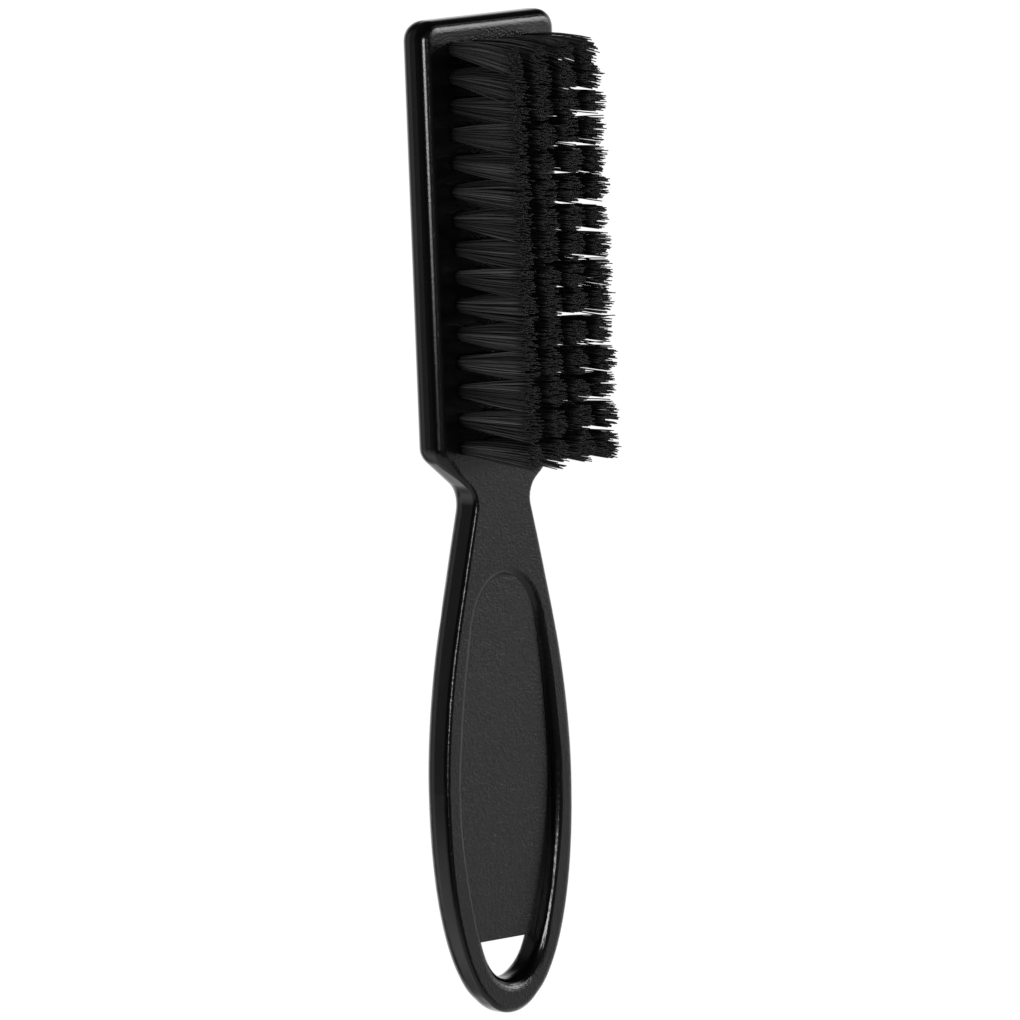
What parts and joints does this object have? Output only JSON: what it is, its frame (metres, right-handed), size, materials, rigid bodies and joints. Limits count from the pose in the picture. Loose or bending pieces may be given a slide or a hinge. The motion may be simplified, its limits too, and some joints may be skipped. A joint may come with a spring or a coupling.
{
  "type": "fade brush",
  "caption": "Flat barber's fade brush: long rectangular head set with bundles of stiff nylon bristle, slim neck, and an oval ring handle with a recessed thumb web and a hang hole.",
  "frame": {"origin": "middle of the footprint, on the plane the brush lies on when it rests on its back", "axes": "+Z out of the head's face, the way the bristles point; +X from the head towards the end of the grip; +Y across the head"},
  "size_m": [0.1704, 0.0322, 0.0241],
  "materials": {
    "handle_plastic": "spark-eroded matte front and back, polished side band",
    "bristle_nylon": "drawn nylon filament, satin",
    "anchor_wire": "rolled flat wire"
  },
  "bodies": {
    "root": {"handle": "handle_plastic", "tuft_line_01": "bristle_nylon", "tuft_line_02": "bristle_nylon", "tuft_line_03": "bristle_nylon", "tuft_line_04": "bristle_nylon", "tuft_line_05": "bristle_nylon", "tuft_line_06": "bristle_nylon", "tuft_line_07": "bristle_nylon", "tuft_line_08": "bristle_nylon", "tuft_line_09": "bristle_nylon", "tuft_line_10": "bristle_nylon", "tuft_line_11": "bristle_nylon", "tuft_line_12": "bristle_nylon", "tuft_line_13": "bristle_nylon", "tuft_line_14": "bristle_nylon", "tuft_line_15": "bristle_nylon", "anchor_line_01": "anchor_wire", "anchor_line_02": "anchor_wire", "anchor_line_03": "anchor_wire", "anchor_line_04": "anchor_wire", "anchor_line_05": "anchor_wire", "anchor_line_06": "anchor_wire", "anchor_line_07": "anchor_wire", "anchor_line_08": "anchor_wire", "anchor_line_09": "anchor_wire", "anchor_line_10": "anchor_wire", "anchor_line_11": "anchor_wire", "anchor_line_12": "anchor_wire", "anchor_line_13": "anchor_wire", "anchor_line_14": "anchor_wire", "anchor_line_15": "anchor_wire"}
  },
  "joints": []
}
